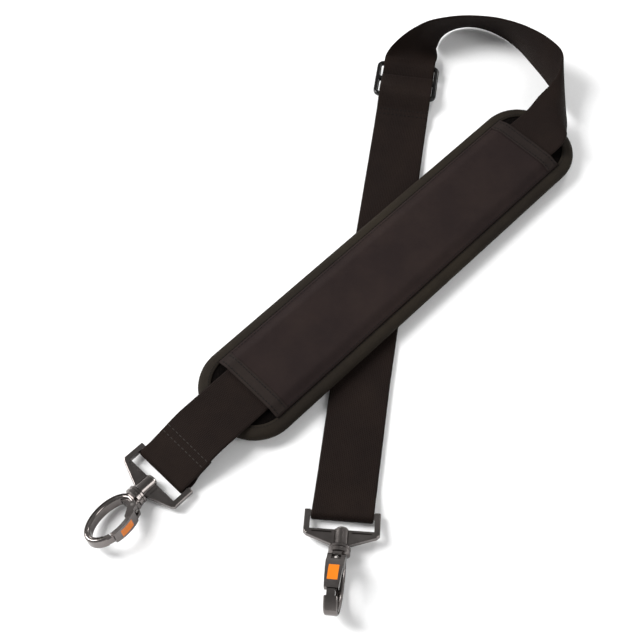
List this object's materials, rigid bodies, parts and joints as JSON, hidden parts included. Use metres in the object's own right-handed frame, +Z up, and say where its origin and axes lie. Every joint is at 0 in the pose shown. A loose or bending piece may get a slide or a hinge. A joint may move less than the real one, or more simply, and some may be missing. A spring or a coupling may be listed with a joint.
{
  "type": "padded instrument shoulder strap",
  "caption": "Padded webbing strap for an instrument, laid out: sleeve-covered shoulder pad, slide adjuster, standing loop, and a swivel snap hook in a loop frame at each end.",
  "frame": {"origin": "under the middle of the strap's footprint, on the surface that it lies on", "axes": "+X to the right and +Y away from the reader of the laid-out strap, +Z up"},
  "size_m": [0.3217, 0.4542, 0.0373],
  "materials": {
    "webbing": "woven nylon webbing, satin",
    "thread_light": "polyester thread",
    "thread_dark": "polyester thread",
    "adjuster_plastic": "glossy moulded",
    "binding_tape": "woven binding tape",
    "pad_cover": "textured fabric",
    "foam": "closed-cell foam",
    "sleeve_fabric": "fine plain-weave fabric",
    "inlay_orange": "plain enamel inlay",
    "pin_steel": "plated steel",
    "hook_metal": "polished black nickel plated die casting"
  },
  "bodies": {
    "strap": {"webbing_hook_a_fold": "webbing", "webbing_shoulder_span": "webbing", "webbing_turn": "webbing", "webbing_arc": "webbing", "webbing_adjuster_lead": "webbing", "webbing_lower_run_top": "webbing", "webbing_lower_run": "webbing", "webbing_hook_b_fold": "webbing", "webbing_upper_run": "webbing", "webbing_upper_run_top": "webbing", "stitching_hook_a": "thread_light"},
    "adjuster": {"adjuster_frame": "adjuster_plastic", "webbing_adjuster_wave": "webbing", "webbing_adjuster_fold": "webbing", "stitching_adjuster": "thread_dark"},
    "pad": {"pad_edge_binding": "binding_tape", "pad_base_cover": "pad_cover", "pad_foam_core": "foam", "pad_top_cover": "pad_cover", "sleeve_panel": "sleeve_fabric", "sleeve_hem_a": "sleeve_fabric", "sleeve_hem_b": "sleeve_fabric", "stitching_sleeve_hems": "thread_dark"},
    "loop_a": {"loop_a_frame": "hook_metal"},
    "hook_a": {"hook_a_stud": "pin_steel", "hook_a_body": "hook_metal", "hook_a_gate_pin": "pin_steel", "hook_a_gate_spring": "pin_steel"},
    "gate_a": {"gate_a_lever": "hook_metal", "gate_a_inlay": "inlay_orange"},
    "loop_b": {"loop_b_frame": "hook_metal"},
    "hook_b": {"hook_b_stud": "pin_steel", "hook_b_body": "hook_metal", "hook_b_gate_pin": "pin_steel", "hook_b_gate_spring": "pin_steel"},
    "gate_b": {"gate_b_lever": "hook_metal", "gate_b_inlay": "inlay_orange"}
  },
  "joints": [
    {"name": "loop_a_swing", "type": "hinge", "parent": "strap", "child": "loop_a", "pos_m": [-0.11619, -0.13515, 0.0041], "axis": [-0.7278, 0.6858, 0], "range_deg": [0, 80]},
    {"name": "hook_a_swivel", "type": "hinge", "parent": "loop_a", "child": "hook_a", "pos_m": [-0.13011, -0.15043, 0.00638], "axis": [-0.6292, -0.7695, 0.1095], "continuous": true},
    {"name": "gate_a_press", "type": "hinge", "parent": "hook_a", "child": "gate_a", "pos_m": [-0.13234, -0.16212, 0.00912], "axis": [0.1409, -0.2514, -0.9576], "range_deg": [0, 26], "stiffness_Nm_per_rad": 0.02, "springref_deg": -22.92},
    {"name": "loop_b_swing", "type": "hinge", "parent": "strap", "child": "loop_b", "pos_m": [-0.00641, -0.16418, 0.0041], "axis": [-0.9973, 0.0732, 0], "range_deg": [0, 80]},
    {"name": "hook_b_swivel", "type": "hinge", "parent": "loop_b", "child": "hook_b", "pos_m": [-0.00825, -0.18451, 0.00803], "axis": [-0.1413, -0.9718, 0.1886], "continuous": true},
    {"name": "gate_b_press", "type": "hinge", "parent": "hook_b", "child": "gate_b", "pos_m": [-0.01039, -0.1937, 0.01579], "axis": [0.9842, -0.1173, 0.1328], "range_deg": [0, 26], "stiffness_Nm_per_rad": 0.02, "springref_deg": -22.92},
    {"name": "adjuster_slide", "type": "slide", "parent": "strap", "child": "adjuster", "axis": [-0.1564, -0.9877, 0], "range_m": [0, 0.04], "deforming": ["webbing_adjuster_lead", "webbing_lower_run_top", "webbing_upper_run_top"]},
    {"name": "pad_slide", "type": "slide", "parent": "strap", "child": "pad", "axis": [-0.7108, -0.7034, 0], "range_m": [0, 0.012]}
  ]
}
